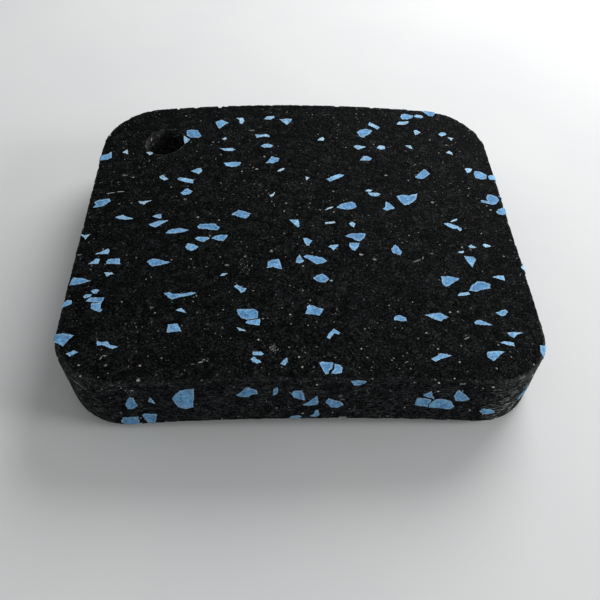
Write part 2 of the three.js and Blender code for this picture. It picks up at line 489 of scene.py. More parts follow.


# The blue granules: coloured EPDM rubber, cured, ground to 1 to 4 mm and mixed into the
# black crumb before pressing. The blade and the die cut them flush with the faces.
# Outlines on the tread, read off as x and y pairs in mm about the tile's middle.
TREAD_GRANULES = [
    (-50.2, 25.5, -48.1, 26.1, -47.2, 26.9, -46.8, 24.5, -48.0, 23.9, -50.2, 23.9),
    (-44.3, 26.3, -43.1, 27.2, -42.7, 25.3),
    (-38.1, 25.5, -37.1, 25.6, -36.3, 24.9, -37.1, 24.3),
    (-28.4, 33.4, -27.3, 33.8, -25.5, 33.2, -25.0, 31.9, -24.5, 30.9, -25.2, 30.1, -27.1, 30.4,
     -28.3, 31.4),
    (-29.1, 31.3, -28.4, 30.7, -27.4, 29.6, -28.0, 28.5, -28.6, 28.0, -28.9, 29.5),
    (-21.1, 36.6, -19.6, 37.4, -17.7, 36.0, -18.8, 35.2, -20.0, 33.5, -20.7, 35.0),
    (-19.1, 29.2, -18.3, 29.9, -17.8, 29.3, -18.5, 28.8),
    (-19.5, 25.5, -18.3, 25.3, -16.3, 25.4, -15.5, 24.8, -16.4, 24.2, -18.2, 24.4),
    (-15.8, 38.0, -14.0, 38.0, -13.6, 36.9, -14.0, 35.5, -14.7, 35.6, -14.9, 37.1),
    (-8.4, 37.3, -7.7, 38.4, -5.8, 38.6, -5.7, 37.8, -6.8, 37.1),
    (-4.5, 37.4, -3.6, 37.1, -2.4, 37.5, -1.0, 37.3, -1.5, 36.2, -2.5, 34.8),
    (-10.7, 30.7, -9.4, 30.6, -7.7, 30.8, -6.9, 30.0, -7.1, 29.6, -8.6, 29.9, -10.2, 29.4),
    (-9.1, 26.0, -8.3, 26.8, -7.0, 26.7, -6.0, 26.2, -6.4, 25.5, -8.3, 25.3),
    (5.3, 28.3, 5.9, 29.2, 6.8, 29.8, 7.1, 29.1, 6.9, 28.3),
    (14.4, 26.1, 15.2, 26.8, 17.6, 26.3, 16.5, 25.6, 15.5, 25.0),
    (15.8, 32.3, 16.8, 33.2, 18.2, 33.8, 19.9, 33.3, 19.2, 31.9, 18.1, 31.0, 17.3, 30.0, 16.4,
     30.5),
    (19.1, 35.5, 19.5, 36.8, 20.7, 36.0, 22.0, 34.7, 21.3, 33.8, 20.2, 34.8),
    (20.4, 26.0, 21.2, 27.1, 22.6, 26.9, 22.5, 25.8, 21.3, 25.4),
    (27.9, 27.7, 29.4, 27.9, 29.8, 26.4, 28.9, 26.8),
    (28.2, 40.0, 28.7, 41.2, 29.6, 41.6, 31.9, 41.0, 31.3, 39.9, 30.0, 39.2, 28.5, 39.1),
    (32.0, 40.7, 32.8, 41.6, 34.3, 41.4, 34.6, 40.8, 34.0, 40.2, 32.6, 40.4),
    (26.9, 36.7, 27.6, 37.8, 30.3, 38.3, 30.0, 37.5, 28.9, 36.7, 27.2, 36.5),
    (29.2, 44.3, 31.8, 44.4, 32.0, 43.6, 30.9, 43.3, 29.9, 43.7),
    (35.0, 43.2, 35.3, 44.4, 38.3, 44.0, 38.1, 42.7, 37.4, 41.6, 36.3, 41.5),
    (31.1, 34.2, 31.7, 34.7, 32.9, 33.8, 32.1, 33.0, 31.3, 32.4),
    (37.7, 33.6, 38.3, 34.4, 39.6, 34.6, 39.9, 34.0, 39.1, 33.2, 38.3, 32.8),
    (40.0, 32.7, 41.6, 32.5, 40.8, 31.4),
    (38.4, 26.0, 39.4, 26.9, 40.2, 26.2, 40.2, 25.3, 39.4, 25.7),
    (-33.7, 15.6, -33.0, 16.1, -31.4, 14.5, -32.4, 14.1, -33.2, 14.7),
    (-26.1, 17.0, -24.7, 17.9, -23.7, 18.0, -23.4, 16.9, -24.0, 15.9),
    (-29.2, 14.2, -28.6, 14.9, -25.2, 13.8, -25.3, 12.4, -27.0, 13.0),
    (-28.0, 9.1, -27.3, 10.1, -26.5, 10.7, -25.2, 9.5, -25.9, 8.6, -27.1, 8.5),
    (-48.4, 8.1, -47.6, 8.7, -45.0, 9.0, -44.5, 8.1, -46.0, 6.6, -47.4, 6.3, -48.5, 6.3, -47.9,
     7.1),
    (-37.9, 7.3, -36.9, 7.0, -34.6, 7.2, -35.9, 6.5, -36.3, 5.8, -37.3, 6.5),
    (-42.6, 2.3, -40.8, 2.9, -39.8, 2.1, -38.3, 1.5, -38.5, 1.2, -40.2, 1.2, -41.7, 1.7),
    (-33.8, 1.6, -32.9, 2.2, -31.8, 2.3, -31.8, 0.8, -32.6, 1.0),
    (-34.4, -0.9, -32.4, 0.0, -30.0, 0.1, -31.6, -1.2, -32.7, -2.0, -33.3, -1.8),
    (-18.2, 19.6, -16.3, 19.8, -13.9, 19.7, -14.3, 18.7, -15.1, 18.1, -16.1, 18.0, -17.6, 18.5),
    (-7.9, 19.2, -7.1, 20.4, -6.4, 21.8, -4.5, 21.0, -4.7, 20.1, -6.1, 19.2),
    (-4.9, 16.4, -3.7, 17.2, -3.1, 17.0, -4.2, 16.1, -4.9, 16.0),
    (1.8, 14.1, 2.8, 13.7, 2.0, 12.8),
    (6.9, 13.3, 8.6, 14.5, 10.3, 15.3, 11.3, 14.9, 10.3, 14.1, 8.8, 13.1, 7.7, 12.4),
    (-7.0, 7.5, -6.2, 7.7, -5.6, 8.6, -5.9, 7.3, -6.6, 6.8),
    (6.0, 2.3, 6.6, 3.1, 8.0, 3.6, 7.6, 3.1, 6.6, 2.6),
    (8.7, 3.3, 10.0, 4.6, 12.4, 5.4, 13.2, 4.7, 13.4, 3.7, 12.6, 3.1, 11.4, 2.7, 9.9, 2.9),
    (-15.6, 1.1, -14.0, 2.5, -12.3, 1.9, -11.2, 1.3, -11.8, 0.2, -12.4, -0.3, -13.8, 0.3),
    (15.7, 20.8, 16.7, 22.5, 17.8, 22.4, 18.7, 21.7, 18.0, 20.8),
    (28.9, 15.4, 30.5, 17.3, 31.6, 18.7, 32.9, 17.1, 31.7, 15.8, 30.8, 14.9, 29.4, 14.9),
    (42.4, 20.1, 43.0, 20.5, 44.4, 20.4, 43.7, 19.2, 42.8, 18.5),
    (44.4, 18.2, 44.9, 19.6, 46.4, 19.5, 47.8, 18.5, 47.4, 17.0, 45.9, 16.6, 44.6, 17.0),
    (48.0, 17.8, 48.7, 18.6, 50.3, 18.9, 50.3, 16.9, 48.2, 16.9),
    (45.8, 9.4, 46.3, 10.8, 47.2, 11.1, 48.7, 10.5, 49.0, 9.4, 48.1, 8.0, 46.9, 7.4, 44.3, 7.9,
     44.3, 8.7, 46.2, 8.5),
    (49.2, 10.8, 50.2, 11.2, 50.2, 10.2),
    (47.3, 4.8, 48.0, 5.9, 49.7, 6.8, 50.3, 6.5, 50.3, 4.9, 48.7, 4.1, 47.8, 4.2),
    (15.9, 9.3, 16.6, 9.9, 17.7, 9.8, 17.0, 9.1),
    (16.5, 8.8, 18.9, 8.8, 19.5, 8.3, 18.6, 7.6, 17.1, 7.7),
    (19.5, 3.2, 20.2, 3.9, 20.6, 6.0, 21.7, 4.8, 22.4, 3.7, 20.6, 2.8),
    (23.4, 8.0, 24.8, 8.5, 26.3, 8.3, 28.6, 9.3, 28.0, 7.3, 26.9, 6.0, 25.9, 5.2, 25.0, 4.9, 24.1,
     6.0),
    (35.1, 0.2, 35.8, 0.8, 37.1, 1.4, 36.8, 0.8, 35.4, 0.1),
    (33.5, -0.6, 34.6, -0.3, 36.8, -1.2, 37.5, -2.0, 36.9, -2.8, 36.4, -1.9, 35.4, -2.1, 34.2,
     -1.3),
    (-49.9, -2.3, -48.8, -2.9, -47.5, -2.6, -48.4, -4.2, -49.1, -3.3),
    (-30.2, -4.1, -29.7, -3.3, -28.8, -2.9, -26.8, -2.8, -25.0, -3.5, -26.6, -4.1, -28.8, -4.3),
    (-23.2, -2.5, -22.6, -1.7, -19.3, -1.7, -18.8, -2.4, -18.1, -2.9, -18.5, -3.8, -19.9, -3.7,
     -21.3, -3.3, -22.7, -3.2),
    (-23.4, -6.3, -23.0, -5.8, -20.8, -5.9, -20.2, -6.3, -21.4, -7.4, -22.7, -6.9),
    (-19.7, -6.4, -19.1, -5.7, -17.8, -5.4, -16.2, -5.5, -16.4, -6.3, -17.1, -7.3, -18.2, -7.1),
    (-25.4, -8.8, -24.9, -7.6, -23.6, -8.1, -22.4, -8.8, -23.2, -9.6, -24.0, -10.0, -25.0, -9.3),
    (-45.3, -9.2, -43.6, -8.3, -42.5, -7.8, -42.2, -8.6, -42.4, -9.4, -44.0, -9.2),
    (-46.4, -12.0, -45.3, -11.2, -44.8, -10.5, -44.0, -10.8, -44.2, -12.1),
    (-42.4, -11.7, -42.1, -11.0, -39.6, -11.0, -39.2, -12.8, -40.7, -12.5, -42.3, -12.4),
    (-42.3, -14.9, -40.8, -15.0, -40.0, -15.7, -40.9, -15.6, -41.6, -16.1),
    (-49.4, -17.8, -49.0, -15.7, -46.8, -16.1, -44.9, -17.0, -47.3, -17.7),
    (-44.4, -19.9, -43.5, -19.5, -42.6, -19.9, -43.1, -20.7, -43.7, -20.7),
    (-45.8, -21.3, -45.4, -20.8, -44.1, -20.8, -44.3, -21.5, -45.4, -21.8),
    (-45.0, -22.6, -44.2, -21.7, -41.2, -22.0, -41.6, -23.3, -43.8, -22.9),
    (-43.7, -23.4, -41.6, -23.4, -41.6, -24.7, -41.1, -25.4, -41.6, -25.8, -42.7, -25.3, -43.6,
     -24.6),
    (-50.2, -22.9, -48.9, -21.9, -48.1, -22.1, -47.9, -23.1, -49.8, -23.7),
    (-33.4, -12.5, -32.4, -11.8, -31.5, -11.9, -28.2, -13.1, -30.4, -13.8, -32.1, -14.1, -32.8,
     -13.3),
    (-28.7, -21.8, -27.8, -21.6, -26.8, -22.2, -24.9, -22.2, -22.9, -21.8, -22.0, -22.2, -22.9,
     -22.6, -25.2, -23.0, -26.8, -23.6, -27.5, -23.2),
    (-17.3, -17.6, -16.7, -16.9, -15.7, -17.0, -16.4, -17.6),
    (-2.3, -0.9, -0.3, -0.9, -0.1, -3.0, -0.5, -3.4, -1.3, -2.4),
    (5.7, -1.7, 8.0, -1.4, 8.1, -1.9, 5.8, -2.3),
    (11.2, -1.9, 11.9, -1.4, 12.7, -1.9, 12.3, -3.2, 11.7, -2.8),
    (10.0, -6.0, 11.5, -5.2, 14.7, -5.0, 14.4, -6.4, 13.3, -7.4, 12.6, -7.4, 11.3, -6.5),
    (10.9, -8.1, 13.2, -8.1, 12.7, -9.3, 12.0, -10.5, 11.5, -10.3, 10.8, -9.3),
    (0.6, -6.9, 1.4, -6.8, 2.6, -7.5, 1.8, -9.1, 1.3, -9.0, 0.9, -8.0),
    (6.0, -9.4, 6.8, -8.9, 8.4, -8.8, 7.8, -9.6, 7.1, -10.5, 6.8, -9.8),
    (-1.2, -14.2, -0.8, -12.6, -0.3, -11.8, 0.1, -12.8, 0.6, -13.8, -0.4, -14.4),
    (0.5, -12.5, 1.2, -11.9, 2.6, -12.2, 4.6, -12.7, 5.6, -13.7, 4.4, -14.4, 3.2, -14.6, 2.0,
     -13.5),
    (-7.2, -13.9, -6.0, -13.3, -4.8, -13.1, -4.4, -14.7, -4.1, -16.0, -4.9, -15.9, -6.2, -15.3,
     -7.4, -15.7, -7.2, -14.8),
    (2.4, -18.7, 3.1, -17.9, 4.4, -17.4, 5.3, -18.2, 5.7, -18.9, 5.0, -19.8, 3.9, -19.8, 3.0,
     -19.3),
    (-14.2, -20.6, -13.6, -20.2, -12.6, -21.0, -11.6, -21.4, -12.1, -22.2, -12.7, -22.5, -13.3,
     -21.6),
    (20.1, -9.5, 21.1, -8.2, 21.7, -8.9, 22.3, -10.5, 21.9, -11.5, 20.3, -10.8),
    (38.0, -7.5, 38.7, -6.9, 40.0, -7.7, 38.3, -8.0),
    (41.5, -6.7, 42.2, -6.3, 43.5, -6.9, 42.1, -7.5),
    (35.2, -9.5, 36.7, -9.0, 36.4, -9.7, 35.5, -9.8),
    (36.4, -10.7, 38.6, -10.8, 39.0, -11.5, 38.3, -12.8, 37.7, -14.0, 37.0, -12.4),
    (41.8, -16.4, 43.0, -15.9, 44.5, -15.8, 44.4, -17.3, 43.1, -16.8),
    (30.1, -17.2, 31.7, -17.0, 34.2, -17.5, 32.8, -18.6, 31.7, -19.6, 30.7, -20.0, 30.1, -19.3),
    (35.6, -20.8, 36.5, -19.4, 38.0, -18.0, 39.4, -18.0, 40.8, -18.6, 40.5, -19.7, 38.6, -20.3,
     37.2, -20.9),
    (32.8, -22.5, 33.5, -21.6, 35.4, -21.2, 35.7, -21.8, 34.2, -22.3),
    (49.2, -12.9, 50.2, -11.2, 50.2, -14.4),
    (-50.2, -31.0, -48.2, -30.6, -45.9, -31.3, -46.8, -32.5, -47.6, -33.9, -48.7, -33.1, -50.2,
     -32.3),
    (-46.6, -35.8, -45.1, -35.1, -44.2, -35.6, -45.7, -36.5),
    (-40.9, -33.1, -39.9, -33.6, -38.8, -33.4, -37.9, -34.5, -36.4, -34.9, -37.4, -35.4, -38.9,
     -34.6, -39.6, -34.2, -40.7, -34.3),
    (-27.1, -30.1, -25.2, -30.0, -24.2, -31.9, -27.1, -32.1),
    (-25.9, -26.5, -24.8, -26.0, -23.5, -27.4, -24.5, -27.0),
    (-13.3, -26.8, -9.9, -26.9, -9.1, -27.6, -9.2, -29.2, -11.3, -29.6, -12.4, -29.1, -13.2, -28.0),
    (-8.7, -29.4, -8.8, -31.1, -10.5, -30.8, -11.6, -30.3, -11.2, -29.8, -9.3, -29.5),
    (-13.3, -31.4, -12.5, -31.7, -11.3, -32.4, -12.7, -32.3),
    (0.9, -26.3, 1.4, -25.9, 4.2, -27.1, 3.3, -28.7, 2.3, -28.4, 1.2, -28.4, 0.4, -28.2, 0.8,
     -27.3),
    (4.5, -34.3, 5.1, -33.0, 6.0, -32.0, 7.2, -33.0, 6.9, -33.4, 6.0, -33.1, 5.0, -34.5),
    (-10.0, -37.4, -8.3, -37.5, -7.8, -38.0, -8.6, -38.3, -9.9, -38.2),
    (-10.4, -39.1, -9.7, -38.6, -8.3, -39.9, -9.1, -40.2, -10.0, -39.8),
    (-4.7, -40.3, -4.1, -39.6, -3.5, -38.9, -3.2, -39.9, -3.9, -40.7),
    (2.7, -40.2, 3.3, -39.9, 5.4, -40.2, 5.2, -41.2, 4.5, -42.0, 4.3, -42.7, 3.8, -42.8),
    (5.7, -40.4, 6.7, -40.7, 7.1, -41.2, 6.9, -42.4, 5.9, -42.7, 4.9, -42.6, 5.5, -41.6),
    (18.4, -29.6, 18.6, -28.8, 19.5, -28.3, 20.9, -28.9, 21.0, -29.7, 19.7, -29.8),
    (24.9, -28.0, 26.6, -27.6, 28.3, -27.3, 29.9, -28.4, 28.9, -28.8, 28.1, -29.5, 26.6, -28.9),
    (35.1, -29.5, 35.6, -28.9, 36.5, -28.7, 38.9, -29.9, 36.9, -29.9, 35.3, -29.8),
    (40.3, -26.5, 41.3, -26.0, 42.5, -25.4, 43.0, -26.0, 42.3, -27.0, 41.4, -27.3),
    (41.6, -31.6, 43.0, -31.3, 45.1, -31.3, 43.6, -31.9, 42.8, -32.8, 42.0, -32.3),
    (39.6, -34.2, 40.5, -33.8, 42.4, -34.0, 42.5, -34.9, 41.0, -34.7),
    (36.1, -37.1, 36.5, -36.6, 38.6, -36.3, 40.1, -36.4, 39.0, -37.1, 38.0, -38.1, 37.2, -38.8,
     36.3, -38.1),
    (24.6, -38.9, 25.7, -38.3, 26.7, -37.5, 28.9, -37.9, 27.8, -38.4, 26.5, -38.8, 25.4, -39.5),
    (47.9, -34.2, 49.8, -34.3, 49.4, -35.9, 48.1, -37.4, 47.6, -35.9),
]

# On the front wall: mm along the outline from its middle, and height above the floor.
FRONT_GRANULES = [
    (-34.7, 8.2, -34.9, 9.8, -34.1, 11.9, -33.6, 12.5, -33.1, 12.0, -32.6, 9.3, -33.8, 8.1),
    (-30.4, 10.9, -29.8, 12.3, -29.1, 10.1, -29.7, 10.6),
    (-36.9, 3.0, -36.3, 4.7, -33.2, 5.0, -33.3, 2.7, -34.7, 1.6, -36.1, 1.5),
    (-32.3, 5.6, -31.7, 6.2, -29.3, 5.8, -29.7, 4.3, -30.1, 2.6, -31.5, 2.7),
    (-25.6, 11.8, -24.8, 13.4, -23.6, 14.8, -21.1, 15.3, -21.3, 13.0, -21.7, 10.5, -21.8, 8.7,
     -23.4, 8.0, -24.8, 8.8),
    (-13.1, 12.9, -11.9, 14.6, -11.2, 15.5, -9.2, 14.7, -9.1, 13.4, -10.1, 13.3, -10.9, 12.3,
     -11.9, 12.4),
    (-6.1, 12.8, -6.0, 15.0, -5.3, 15.8, -5.1, 14.6, -5.4, 13.3),
    (-2.7, 13.3, -1.9, 14.3, -0.7, 14.4, -0.1, 12.9, 0.1, 10.9, -0.9, 11.4, -2.0, 11.9),
    (-0.2, 9.1, 1.0, 10.4, 2.4, 12.4, 2.8, 10.4, 2.7, 9.3, 1.1, 8.9),
    (4.2, 10.1, 4.7, 11.4, 6.3, 10.5, 7.2, 10.1, 7.8, 9.0, 6.7, 8.0, 5.3, 8.2, 4.8, 9.3),
    (1.3, 4.7, 2.1, 5.4, 2.4, 7.0, 2.9, 6.9, 3.2, 5.0, 2.5, 4.5),
    (23.2, 12.5, 24.6, 13.8, 25.0, 12.5, 25.7, 10.9, 24.1, 11.7),
    (22.1, 8.8, 22.2, 11.3, 24.0, 11.1, 25.1, 10.5, 24.8, 9.2, 24.9, 7.9),
    (25.1, 7.8, 25.1, 9.3, 26.1, 10.8, 27.7, 10.8, 29.3, 9.8, 30.2, 7.9, 29.5, 6.9, 27.9, 7.4),
    (29.3, 12.1, 29.8, 14.2, 31.3, 12.6, 32.7, 10.7, 31.7, 10.1, 30.0, 10.2),
    (35.7, 6.1, 36.4, 7.0, 38.3, 6.2, 39.4, 4.8, 37.8, 4.7, 36.6, 5.2),
    (8.6, 17.6, 9.6, 17.8, 11.6, 17.5, 11.3, 16.9, 10.4, 16.3, 9.3, 16.2, 8.9, 17.1),
    (45.1, 5.7, 45.2, 6.9, 45.9, 8.0, 46.4, 8.0, 45.8, 6.6, 45.8, 5.5),
    (46.5, 5.3, 46.6, 6.5, 47.3, 8.0, 48.9, 7.3, 49.4, 5.9, 47.9, 5.2),
    (-2.9, 4.1, -2.2, 4.8, -1.0, 5.0, -0.4, 4.4, -1.2, 3.9),
]
GRANULE_DEPTH = 0.7        # how far down a granule goes, away from the rim
RIM_GRANULE_DEPTH = (2.0, 4.5)
RIM_BAND = 0.6             # a granule that comes this near the rim goes down the wall too
FRONT_TONES, WALL_TONES = (0.05, 0.3), (0.0, 0.35)
JAG_STEP, JAG = 0.3, 0.055    # a torn outline is broken up this finely, and strays this far
FLUSH, UNDER_FLUSH = 0.02, 0.015    # chips lie this far inside the solid's faces
dice = random.Random(20)


def kept_inside(u, v):
    """A point of the plan, brought in to just inside the cut outline if it lies outside."""
    edge = rim_distance(u, v)
    if edge >= FLUSH:
        return u, v, edge
    cx, cy = max(-HALF_W, min(HALF_W, u)), max(-HALF_D, min(HALF_D, v))
    away = math.hypot(u - cx, v - cy)
    reach = CORNER - FLUSH
    return cx + (u - cx) * reach / away, cy + (v - cy) * reach / away, FLUSH


# The places that chips are let into. Each takes a point of the flat pattern, in mm, to a
# point just inside the solid and the direction out of it there.
def tread_place(u, v):
    u, v, edge = kept_inside(u, v)
    return (Vector((u, v, tread_height(u) + FLUSH - rounded(edge, RIM_RADIUS))),
            Vector((u / TREAD_ARC, 0, 1)).normalized())


def wall_place(u, v):
    (x, y), out = outline(u)
    up, down = tread_height(x) - v, v - under_height(x)
    inset = (FLUSH + rounded(up, RIM_RADIUS) + rounded(down, FOOT_RADIUS)
             + lean(out, down / (up + down)))
    v = min(max(v, under_height(x) + FLUSH), tread_height(x) - FLUSH)
    return Vector((x - out[0] * inset, y - out[1] * inset, v)), Vector((out[0], out[1], 0))


def under_place(u, v):
    u, v, edge = kept_inside(u, v)
    return (Vector((-u, v, under_height(u) + UNDER_FLUSH + rounded(edge, FOOT_RADIUS))),
            Vector((u / UNDER_ARC, 0, -1)).normalized())


def hole_place(u, v):
    a = u / HOLE_RADIUS
    out = Vector((math.cos(a), -math.sin(a), 0))
    return Vector((HOLE_X, HOLE_Y, v)) + out * (HOLE_RADIUS + FLUSH), -out


def inside_shape(x, y, shape):
    hit = False
    for (ax, ay), (bx, by) in zip(shape, shape[1:] + shape[:1]):
        if (ay > y) != (by > y) and x < (bx - ax) * (y - ay) / (by - ay) + ax:
            hit = not hit
    return hit


def area_of(shape):
    return 0.5 * sum(ax * by - bx * ay for (ax, ay), (bx, by) in zip(shape, shape[1:] + shape[:1]))


def torn_outline(shape, shake):
    """The outline with its edges broken into short uneven steps."""
    out = []
    for (ax, ay), (bx, by) in zip(shape, shape[1:] + shape[:1]):
        length = math.hypot(bx - ax, by - ay)
        count = max(1, round(length / JAG_STEP))
        for k in range(count):
            t = (k + (dice.uniform(-0.25, 0.25) if k else 0)) / count
            off = dice.gauss(0, shake) if k else 0
            off = max(-1.6 * shake, min(1.6 * shake, off))
            out.append((ax + (bx - ax) * t - (by - ay) / length * off,
                        ay + (by - ay) * t + (bx - ax) / length * off))
    return out


CHIP_ROUGH = 0.02          # how uneven a chip's top is
CHIP_TAPER = 0.7           # a chip is shallower by this part at its rim


class Chips:
    """Gathers closed chips let into a face, with a tone for each, and makes one mesh."""

    def __init__(self, name, jag=0):
        self.name, self.jag = name, jag
        self.points, self.faces, self.tones, self.edges, self.shapes = [], [], [], [], []

    def add(self, shape, place, depth, tone, straight=False):
        """One chip, with straight edges where its torn outline would cross itself."""
        if area_of(shape) < 0:
            shape = shape[::-1]
        plain, size = shape, math.sqrt(abs(area_of(shape)))
        if self.jag:
            shape = torn_outline(shape, 0 if straight else min(self.jag, 0.05 * size))
        xs, ys = [p[0] for p in shape], [p[1] for p in shape]
        # points inside the outline, so that the chip's top follows the face
        inner, gap = [], max(0.45, size / 6)
        y = min(ys) + gap / 2
        while y < max(ys):
            x = min(xs) + gap / 2
            while x < max(xs):
                px, py = x + dice.uniform(-0.2, 0.2) * gap, y + dice.uniform(-0.2, 0.2) * gap
                to_edge = min(math.hypot(px - a, py - b) for a, b in shape)
                if to_edge > 0.2 and inside_shape(px, py, shape):
                    inner.append((px, py))
                x += gap
            y += gap
        plan = [Vector(p) for p in shape + inner]
        net = delaunay_2d_cdt(plan, [], [list(range(len(shape)))], 1, 1e-5)
        if len(net[0]) != len(plan) and self.jag and not straight:
            return self.add(plain, place, depth, tone, straight=True)
        self.shapes.append((place, plain))
        first, count = len(self.points), len(net[0])
        mid = Vector((sum(xs) / len(xs), sum(ys) / len(ys)))
        reach = max((Vector(p) - mid).length for p in shape)
        tops, feet = [], []
        for p in net[0]:
            spot, normal = place(p[0], p[1])
            tops.append(spot - normal * CHIP_ROUGH * (0.5 + 0.5 * noise.noise(spot * 3.1)))
            feet.append(spot - normal * depth * (1 - CHIP_TAPER * ((p - mid).length / reach) ** 2))
        self.points += tops + feet
        self.tones += [tone] * (2 * count)
        self.edges += [1.0] * len(shape) + [0.0] * (count - len(shape)) + [1.0] * count
        for f in net[2]:
            self.faces.append(tuple(first + i for i in f))
            self.faces.append(tuple(first + count + i for i in reversed(f)))
        sides = [side for f in net[2] for side in zip(f, f[1:] + f[:1])]
        shared = set(sides)
        for a, b in sides:
            if (b, a) not in shared:
                self.faces.append((first + b, first + a, first + count + a, first + count + b))

    def build(self):
        mesh = closed_mesh(self.name, self.points, self.faces)
        mesh.attributes.new("tone", "FLOAT", "POINT").data.foreach_set("value", self.tones)
        mesh.attributes.new("edge", "FLOAT", "POINT").data.foreach_set("value", self.edges)
        return add_object(self.name, mesh)


def pairs(flat):
    return list(zip(flat[::2], flat[1::2]))


def ground_shape(u, v, size, draw):
    """An angular granule as the mill leaves it, about size mm across."""
    corners = draw.choice((4, 5, 5, 6, 7))
    turn, stretch = draw.uniform(0, math.tau), draw.uniform(1.0, 1.9)
    shape = []
    for k in range(corners):
        a = (k + draw.uniform(-0.3, 0.3)) * math.tau / corners
        r = size * 0.5 * draw.uniform(0.7, 1.2)
        px, py = r * math.cos(a) * math.sqrt(stretch), r * math.sin(a) / math.sqrt(stretch)
        shape.append((u + px * math.cos(turn) - py * math.sin(turn),
                      v + px * math.sin(turn) + py * math.cos(turn)))
    return shape


def granule_size(draw):
    return min(max(draw.lognormvariate(0.72, 0.42), 0.9), 5.2)


def blue_tone(shape):
    """Small and thin granules are scuffed paler than large ones; all are paler to the back, darker
    to the front.
    """
    around = sum(math.hypot(ax - bx, ay - by)
                 for (ax, ay), (bx, by) in zip(shape, shape[1:] + shape[:1]))
    back = shape[0][1] / DEPTH
    shift = 0.35 * back if back > 0 else 0.75 * back
    tone = min(max(1.12 - 1.7 * abs(area_of(shape)) / around + shift, 0.12), 0.95)
    return tone + dice.uniform(-0.1, 0.1)


granules = Chips("epdm_granules", JAG)
for flat in TREAD_GRANULES:
    shape = pairs(flat)
    at_rim = any(rim_distance(x, y) < RIM_BAND for x, y in shape)
    tone = blue_tone(shape)
    granules.add(shape, tread_place, dice.uniform(*RIM_GRANULE_DEPTH) if at_rim else GRANULE_DEPTH,
                 tone)
for flat in FRONT_GRANULES:
    granules.add(pairs(flat), wall_place, GRANULE_DEPTH, dice.uniform(*FRONT_TONES))

# The sides that the photograph doesn't show carry the same share of granules, scattered.
scatter = random.Random(41)
WALL_COUNT, UNDER_COUNT = 68, 150
WALL_TRIES, UNDER_TRIES = 4000, 6000
APART = 0.62               # of the two sizes together
FRONT_END = HALF_W + QUARTER * 0.9
placed = []
for _ in range(WALL_TRIES):
    if len(placed) >= WALL_COUNT:
        break
    run, size = scatter.uniform(FRONT_END, PERIMETER - FRONT_END), granule_size(scatter)
    (x, _y), _out = outline(run)
    height = scatter.uniform(under_height(x) + 0.5, tread_height(x) - 1.2 - 0.6 * size)
    if all(math.hypot(run - a, height - b) > APART * (size + s) for a, b, s in placed):
        placed.append((run, height, size))
        granules.add(ground_shape(run, height, size, scatter), wall_place, GRANULE_DEPTH,
                     dice.uniform(*WALL_TONES))
placed = []
for _ in range(UNDER_TRIES):
    if len(placed) >= UNDER_COUNT:
        break
    x, y, size = scatter.uniform(-49, 49), scatter.uniform(-43, 43), granule_size(scatter)
    to_hole = math.hypot(-x - HOLE_X, y - HOLE_Y)
    if rim_distance(x, y) < 0.75 * size or to_hole < HOLE_RADIUS + 0.8 * size:
        continue
    if all(math.hypot(x - a, y - b) > APART * (size + s) for a, b, s in placed):
        placed.append((x, y, size))
        shape = ground_shape(x, y, size, scatter)
        granules.add(shape, under_place, GRANULE_DEPTH, blue_tone(shape))
# in the hole: mm around it, height and size
for run, height, size in ((4.0, 6.5, 1.9), (9.5, 12.0, 2.4), (21.0, 4.2, 1.7)):
    granules.add(ground_shape(run, height, size, scatter), hole_place, GRANULE_DEPTH,
                 dice.uniform(*WALL_TONES))
granule_piece = granules.build()

# EPDM rubber: a matt light blue all through. The cut faces show fine pits and pale
# scuffed edges, and black crumb dust sits in the pits, so no two granules are quite one blue.
epdm, tree, place = new_material("epdm_granule_rubber")
tone = add_node(tree, "Attribute", attribute_name="tone").outputs["Fac"]
colour = add_node(tree, "ValToRGB", [("Fac", tone)], [
    (0.0, linear("#4d85b6")), (0.35, linear("#6aa2d0")), (0.7, linear("#8bb8d8")),
    (1.0, linear("#c0cace"))])
fine = add_node(tree, "TexNoise", [("Vector", place)], Scale=1 / (0.45 * MM),
                Detail=4.0, Roughness=0.7)
broad = add_node(tree, "TexNoise", [("Vector", place)], Scale=1 / (1.7 * MM), Detail=2.0)
patchy = add_node(tree, "ValToRGB", [("Fac", broad)],
                  [(0.35, (0.7, 0.76, 0.8, 1)), (0.65, (1.3, 1.22, 1.16, 1))])
shade = add_node(tree, "ValToRGB", [("Fac", fine)], [
    (0.33, (0.36, 0.40, 0.44, 1)), (0.5, (0.96, 0.97, 0.98, 1)), (0.68, (1.8, 1.55, 1.35, 1))])
for varied in (patchy, shade):
    colour = add_node(tree, "Mix", [(COLOUR_A, colour), (COLOUR_B, varied)],
                      **MULTIPLY).outputs[MIXED]
pits = add_node(tree, "TexVoronoi", [("Vector", place)], Scale=1 / (0.8 * MM))
pit_share = add_node(tree, "ValToRGB", [("Fac", pits)], [(0.10, grey(0.55)), (0.2, grey(0))])
edge = add_node(tree, "Attribute", attribute_name="edge").outputs["Fac"]
dusting = add_node(tree, "Math", [(0, edge), (1, fine)], operation="MULTIPLY")
for share, tint in ((pit_share, "#2d4a66"), (dusting, "#9dbdd2")):
    colour = add_node(tree, "Mix", [(FACTOR, share), (COLOUR_A, colour)],
                      values=[(COLOUR_B, linear(tint))], data_type="RGBA").outputs[MIXED]
bump = add_node(tree, "Bump", [("Height", fine)], Strength=0.6, Distance=0.1 * MM)
shader = add_node(tree, "BsdfPrincipled", [("Base Color", colour), ("Normal", bump)],
                  IOR=1.5, Roughness=0.78, Specular_IOR_Level=0.3)
add_node(tree, "OutputMaterial", [("Surface", shader)])
granule_piece.data.materials.append(epdm)
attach(granule_piece, "root")
